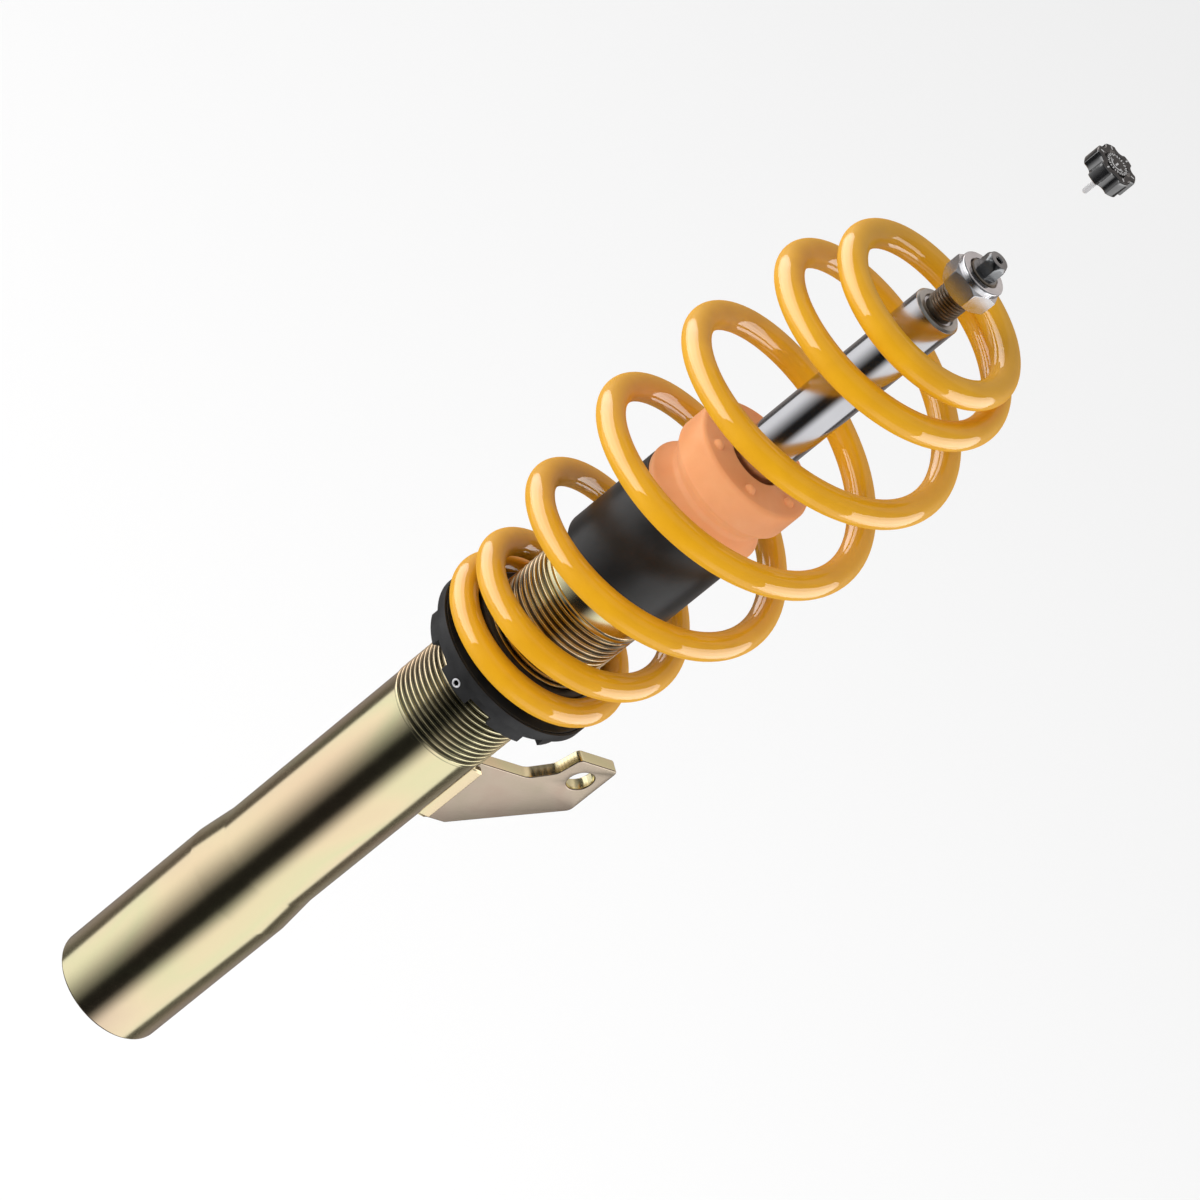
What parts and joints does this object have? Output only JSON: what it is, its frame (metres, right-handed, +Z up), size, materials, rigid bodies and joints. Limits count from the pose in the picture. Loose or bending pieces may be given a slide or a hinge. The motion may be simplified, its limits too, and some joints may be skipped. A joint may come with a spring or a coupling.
{
  "type": "coilover strut",
  "caption": "Front-strut coilover: threaded damper housing with link bracket, height collar, barrel spring, bump stop, dust tube, piston rod and loose damping knob.",
  "frame": {"origin": "centre of the strut housing's bottom end, on its axis", "axes": "+Z up the strut towards the top stud; the collar's set screw faces -Y, and the link bracket reaches out towards +X +Y"},
  "size_m": [0.1277, 0.1236, 0.6199],
  "materials": {
    "yellow_zinc": "bright yellow-passivated zinc plating",
    "black_anodised": "matt black anodised",
    "black_plastic": "satin moulded",
    "spring_coat": "glossy amber powder coat",
    "bump_foam": "matt foamed polyurethane",
    "rod_chrome": "hard chrome with dark machined stud",
    "zinc_nut": "bright zinc plated",
    "bare_steel": "machined",
    "screw_steel": "bright",
    "soft_brass": "bare",
    "seal_rubber": "matt",
    "ptfe_band": "bronze-filled, matt",
    "knob_plastic": "glossy moulded"
  },
  "bodies": {
    "housing": {"strut_housing_tube": "yellow_zinc", "bottom_cap": "yellow_zinc", "bracket_plate": "yellow_zinc", "bracket_weld": "yellow_zinc", "inner_cylinder": "bare_steel", "base_valve_body": "bare_steel", "base_valve_shims": "bare_steel", "base_valve_rivet": "bare_steel", "rod_guide": "bare_steel", "guide_bush": "ptfe_band", "guide_o_ring": "seal_rubber", "rod_seal": "seal_rubber", "gland_nut": "bare_steel"},
    "seat": {"spring_seat_ring": "black_plastic", "coil_spring": "spring_coat"},
    "collar": {"adjuster_collar": "black_anodised", "collar_set_screw": "screw_steel", "collar_brass_pad": "soft_brass"},
    "piston_band": {"piston_ring": "ptfe_band"},
    "rod": {"piston_rod": "rod_chrome", "rebound_stop_ring": "bare_steel", "upper_shims": "bare_steel", "shim_washer": "bare_steel", "damper_piston": "bare_steel", "lower_shims": "bare_steel", "piston_nut": "bare_steel", "top_lock_nut": "zinc_nut"},
    "adjuster": {"adjuster_needle": "bare_steel"},
    "knob": {"knob_body": "knob_plastic", "knob_face_insert": "knob_plastic", "knob_key": "bare_steel"},
    "boot": {"dust_tube": "black_plastic", "bump_stop": "bump_foam"}
  },
  "joints": [
    {"name": "height_adjust", "type": "slide", "parent": "housing", "child": "seat", "axis": [0, 0, 1], "range_m": [-0.03, 0.01]},
    {"name": "collar_turn", "type": "hinge", "parent": "seat", "child": "collar", "pos_m": [0, 0, 0.266], "axis": [0, 0, 1], "range_deg": [-3600, 1200]},
    {"name": "stroke", "type": "slide", "parent": "seat", "child": "piston_band", "axis": [0, 0, 1], "range_m": [-0.09, 0], "stiffness_N_per_m": 60000, "deforming": ["coil_spring"]},
    {"name": "rod_turn", "type": "hinge", "parent": "piston_band", "child": "rod", "pos_m": [0, 0, 0.2625], "axis": [0, 0, 1], "continuous": true},
    {"name": "damping_adjust", "type": "hinge", "parent": "rod", "child": "adjuster", "pos_m": [0, 0, 0.546], "axis": [0, 0, 1], "range_deg": [0, 720]},
    {"name": "knob_pull", "type": "slide", "parent": "adjuster", "child": "knob", "axis": [0, 0, 1], "range_m": [-0.0557, 0]},
    {"name": "boot_slide", "type": "slide", "parent": "housing", "child": "boot", "axis": [0, 0, 1], "range_m": [0, 0.1]}
  ],
  "couplings": [
    {"joint": "collar_turn", "follows": "height_adjust", "rad_per_m": 2094.4}
  ]
}
